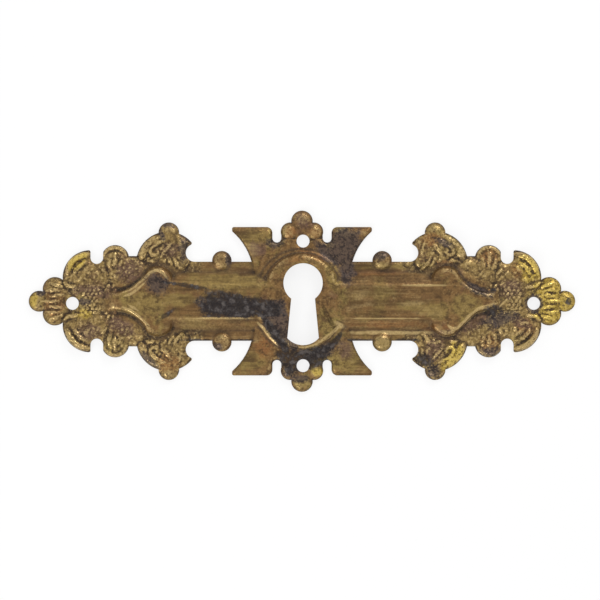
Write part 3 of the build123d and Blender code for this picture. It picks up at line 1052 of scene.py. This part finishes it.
class Shade:
    """A socket of a finish. Sums with it add Math nodes, and its node method adds any other."""

    def __init__(self, tree, socket=None):
        self.tree = tree
        self.socket = socket

    def node(self, kind, settings, sockets, output=0):
        """One output of a new node, with its settings made and its sockets filled."""
        made = self.tree.nodes.new("ShaderNode" + kind)
        for key, value in settings.items():
            setattr(made, key, value)
        for key, value in sockets.items():
            if isinstance(value, Shade):
                self.tree.links.new(value.socket, made.inputs[key])
            else:
                made.inputs[key].default_value = value
        return Shade(self.tree, made.outputs[output] if made.outputs else None)

    def math(self, operation, first, second):
        return self.node("Math", {"operation": operation}, {0: first, 1: second})

    def __add__(self, other):
        return self.math("ADD", self, other)

    def __sub__(self, other):
        return self.math("SUBTRACT", self, other)

    def __rsub__(self, other):
        return self.math("SUBTRACT", other, self)

    def __mul__(self, other):
        return self.math("MULTIPLY", self, other)

    __radd__ = __add__
    __rmul__ = __mul__

    def most(self, other):
        """The larger of this and another."""
        return self.math("MAXIMUM", self, other)

    def between(self, low, high):
        """From 0 at the low value to 1 at the high one, smoothly."""
        sockets = {"Value": self, "From Min": low, "From Max": high}
        return self.node("MapRange", {"interpolation_type": "SMOOTHSTEP"}, sockets)

    def noise(self, size, detail, roughness):
        """Soft noise of a size in millimetres."""
        sockets = {"Vector": self, "Scale": 1 / size, "Detail": detail, "Roughness": roughness}
        return self.node("TexNoise", {}, sockets)

    def stretched(self, x, y):
        """Places scaled along X and Y, so that a noise on them is drawn out."""
        return self.node("Mapping", {}, {"Vector": self, "Scale": (x, y, 1)})

    def noted(self, name):
        """A value that is kept for each point of the sheet."""
        return self.node("Attribute", {"attribute_name": name}, {}, "Fac")

    def stain(self, name):
        """Where a stain, a painted shadow or a painted highlight lies, with this noise along its edges."""
        return (self.noted(name) + stain_ragged * (self - noise_middle)).between(-stain_soft, stain_soft)

    def seen(self):
        """1 where the eye looks, straight or by way of metal or glass, and 0 for light."""
        ray = self.node("LightPath", {}, {}, "Is Camera Ray")
        ways = ray.socket.node.outputs
        whole = ray.most(Shade(self.tree, ways["Is Glossy Ray"]))
        return whole.most(Shade(self.tree, ways["Is Transmission Ray"]))

    def mix(self, below, above):
        """One colour where this mask is 0, and another where it is 1."""
        return self.node("Mix", {"data_type": "RGBA"}, {0: self, 6: below, 7: (*above, 1)}, 2)

    def over(self, colour, mask):
        """This colour, with another laid over it where a mask says."""
        return mask.mix(self, colour)


def guide_of(tree):
    """What the finish goes by: notes of the points, the way the surface faces, and noises."""
    start = Shade(tree)
    metres = start.node("TexCoord", {}, {}, "Object")
    facing = Shade(tree, metres.socket.node.outputs["Normal"])
    place = metres.node("VectorMath", {"operation": "SCALE"}, {0: metres, 3: 1 / mm})
    return SimpleNamespace(
        fine=start.noted("stand_fine"),
        close=start.noted("stand_close"),
        wide=start.noted("stand_wide"),
        leaves=start.noted("leaves"),
        carved=start.noted("carved"),
        bar=start.noted("bar"),
        uphill=start.node("SeparateXYZ", {}, {0: facing}, "Y"),
        front=start.node("SeparateXYZ", {}, {0: facing}, "Z").between(*front_facing),
        ragged=place.noise(*ragged_noise),
        patches=place.noise(*patch_noise),
        blotches=place.noise(*blotch_noise),
        mottle=place.noise(*mottle_noise),
        specks=place.noise(*speck_noise),
        brushed=place.stretched(*brushed_scale).noise(*brushed_noise),
        drawn=place.stretched(*drawn_scale).noise(*drawn_noise),
    )


def front_stain(guide, name):
    """Where a stain, a painted shadow or a painted highlight lies on the front of the plate."""
    return guide.ragged.stain(name) * guide.front


def mark(guide, source, start, full, plain, on_leaves, on_bar):
    """Where a mark shows, and how strongly, by the level of a source."""
    return source.between(start, full) * (plain + on_leaves * guide.leaves + on_bar * guide.bar)


def grime_and_shade(guide):
    """Where it is darkened: dirt and painted shade in the hollows, dirt in specks, and painted shade on
    slopes that face up the plate.
    """
    hollow = (0.0 - guide.close).between(*hollow_level)
    hollow = hollow.most(mark(guide, 0.0 - guide.wide, *wide_hollows))
    dirt_and_shade = hollow * (1 - hollows_off_bar * guide.bar)
    dirt_and_shade = dirt_and_shade.most(mark(guide, guide.specks, *grimy_specks))
    return dirt_and_shade.most(mark(guide, guide.uphill, *shaded_slopes))


def rubbed_and_highlit(guide):
    """Where the brass is lightened: worn bright on ridges, painted highlights on slopes that face down the
    plate, and rubbed lines that are partly painted highlights.
    """
    open_to_wear = guide.leaves.most(guide.patches.between(*wear_patches)) * (1 - guide.bar)
    wear_and_highlights = guide.close.between(*ridge_level) * open_to_wear
    wear_and_highlights = wear_and_highlights.most(guide.fine.between(*fine_ridge_level) * guide.carved)
    wear_and_highlights = wear_and_highlights.most(mark(guide, guide.uphill, *highlit_slopes)) * guide.specks.between(*wear_specks)
    lines = line_least + (1 - line_least) * guide.specks.between(*line_specks)
    return wear_and_highlights.most(guide.ragged.stain("rubbed_and_highlit") * lines) * guide.front


def tarnished(guide, golden):
    """Tan brass with olive and russet tarnish, plain stains, patches of gold, and streaks along the bar."""
    green = guide.patches.between(*olive_level).most(olive_on_leaves * guide.leaves)
    colour = (green * (1 - olive_off_bar * guide.bar)).mix((*tan, 1), olive)
    colour = colour.over(worn_and_highlit, worn_on_leaves * guide.leaves)
    colour = colour.over(russet, mark(guide, guide.blotches, *russet_blotches))
    for name, tint, strength in plain_stains:
        colour = colour.over(tint, front_stain(guide, name) * strength)
    colour = colour.over(gold, golden * mark(guide, guide.mottle, *gold_mottle))
    colour = colour.over(umber, mark(guide, guide.brushed, *dark_brushed))
    colour = colour.over(worn_and_highlit, mark(guide, guide.brushed, *pale_brushed))
    colour = colour.over(umber, mark(guide, guide.drawn, *dark_drawn))
    colour = colour.over(worn_and_highlit, mark(guide, guide.drawn, *pale_drawn))
    colour = colour.over(umber, mark(guide, guide.mottle, *dark_mottle))
    return colour.over(worn_and_highlit, mark(guide, guide.mottle, *pale_mottle))


def soiled_and_shaded(guide, colour, golden, dirt_and_shade):
    """A colour with umber dirt and painted shade on it, and darker in pits, crevices and creases, which is
    painted shade there, partly dirt.
    """
    colour = colour.over(umber, dirt_and_shade_strength * dirt_and_shade)
    dark_pits_and_shade = mark(guide, 0.0 - guide.close, *pit_shade) * guide.mottle.between(*pit_mottle)
    colour = colour.over(soot_and_shadow, dark_pits_and_shade)
    colour = colour.over(deep_shade, mark(guide, 0.0 - guide.fine, *crevice_shade) * guide.carved)
    # Dark specks of the gold, heavier where the sheet lies low: partly painted shade
    low_specks = guide.specks - gold_speck_height * guide.fine
    colour = colour.over(umber, mark(guide, low_specks, *dark_gold_specks) * golden)
    return colour.over(deep_shade, crease_shade_strength * front_stain(guide, "crease_shade"))


def highlighted(guide, colour, golden, wear_and_highlights):
    """A colour worn bright and given painted highlights, brightest with painted glints in the patches of
    gold.
    """
    colour = colour.over(worn_and_highlit, wear_and_highlight_strength * wear_and_highlights)
    gold_wear_and_sheen = wear_and_highlights.most(mark(guide, guide.specks, *gold_glint_specks)) * golden
    return colour.over(gold_wear_and_highlight, gold_highlight_strength * gold_wear_and_sheen)


def blackened(guide, colour, black):
    """A colour under dusk, soot and painted shadow, and ash, with black and pale specks all over."""
    dusky = front_stain(guide, "dusk")
    colour = colour.over(dusk, dusk_strength * dusky)
    mixed = dusk_speck_part * guide.specks + (1 - dusk_speck_part) * guide.mottle
    colour = colour.over(soot_and_shadow, dusky * mark(guide, mixed, *dusk_specks))
    colour = colour.over(soot_and_shadow, soot_and_shadow_strength * black)
    colour = colour.over(ash, black * mark(guide, guide.mottle, *ash_mottle))
    colour = colour.over(soot_and_shadow, mark(guide, guide.specks, *black_specks))
    clean = (1 - soot_and_shadow_hides * black) * (1 - dusk_hides * dusky)
    return colour.over(worn_and_highlit, mark(guide, guide.specks, *pale_specks) * clean)


def aged_brass():
    """Old brass: tarnished tan and olive, darkened by dirt and painted shade in the hollows, worn bright
    and given painted highlights on what stands out.
    """
    material = bpy.data.materials.new("aged_brass")
    material.use_nodes = True
    tree = material.node_tree
    shader = tree.nodes["Principled BSDF"]
    guide = guide_of(tree)
    golden = front_stain(guide, "gold")
    thick = soot_and_shadow_least + (1 - soot_and_shadow_least) * guide.mottle.between(*soot_and_shadow_mottle)
    black = front_stain(guide, "soot_and_shadow") * thick
    dirt_and_shade = grime_and_shade(guide)
    wear_and_highlights = rubbed_and_highlit(guide)
    colour = tarnished(guide, golden)
    colour = soiled_and_shaded(guide, colour, golden, dirt_and_shade)
    colour = highlighted(guide, colour, golden, wear_and_highlights)
    colour = blackened(guide, colour, black)
    dirt_and_shade = dirt_and_shade.most(black)
    rough = clean_roughness + dirt_roughness * dirt_and_shade + mottle_roughness * (guide.mottle - noise_middle)
    rough = rough - rubbed_polish * wear_and_highlights
    metal = clean_metal - dirt_on_metal * dirt_and_shade
    height = bump_specks * guide.specks + guide.mottle + bump_brushed * guide.brushed * guide.bar
    bump = {"Strength": bump_strength, "Distance": bump_depth * mm, "Height": height}
    normal = height.node("Bump", {}, bump)
    finish = {"Base Color": colour, "Roughness": rough, "Metallic": metal, "Normal": normal}
    for name, value in finish.items():
        tree.links.new(value.socket, shader.inputs[name])
    shader.inputs["Specular IOR Level"].default_value = specular
    return material


def floor():
    """A plain pale table, white to the eye, that keeps the plate's shadow."""
    bpy.ops.mesh.primitive_plane_add(size=table_size * mm, location=(0, 0, -table_drop * mm))
    table = newest("floor")
    material = bpy.data.materials.new("floor")
    material.use_nodes = True
    start = Shade(material.node_tree)
    material.node_tree.nodes.clear()
    paper = start.node("BsdfDiffuse", {}, {"Color": (table_paper, table_paper, table_paper, 1)})
    white = start.node("Emission", {}, {"Color": (1, 1, 1, 1), "Strength": 1.0})
    mixed = start.node("MixShader", {}, {0: start.seen() * table_white, 1: paper, 2: white})
    start.node("OutputMaterial", {}, {"Surface": mixed})
    table.data.materials.append(material)


def studio():
    """White surroundings, a little dimmer as light than to the eye."""
    world = bpy.data.worlds.new("studio")
    bpy.context.scene.world = world
    world.use_nodes = True
    start = Shade(world.node_tree)
    world.node_tree.nodes.clear()
    strength = room_light + (1 - room_light) * start.seen()
    white = start.node("Background", {}, {"Color": (1, 1, 1, 1), "Strength": strength})
    start.node("OutputWorld", {}, {"Surface": white})


def lamp(name, place, power):
    """A soft square lamp that looks at the middle of the plate."""
    bpy.ops.object.light_add(type="AREA", location=[mm * value for value in place])
    made = newest(name)
    made.data.size = lamp_size * mm
    made.data.energy = power
    toward = -Vector(place)
    made.rotation_euler = toward.to_track_quat("-Z", "Y").to_euler()


def camera():
    """Looks straight down on the plate."""
    bpy.ops.object.camera_add(location=[mm * value for value in camera_place])
    made = newest("camera")
    made.data.lens = camera_lens
    made.data.sensor_width = camera_sensor
    bpy.context.scene.camera = made


sheet = blank()
press(sheet, die())
grain(sheet)
notes(sheet)
thicken(sheet)
sheet.data.materials.clear()
sheet.data.materials.append(aged_brass())
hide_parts("escutcheon_plate")
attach(sheet, "root")

floor()
studio()
for name, (place, power) in lamps.items():
    lamp(name, place, power)
camera()
bpy.context.scene.view_settings.view_transform = "Standard"
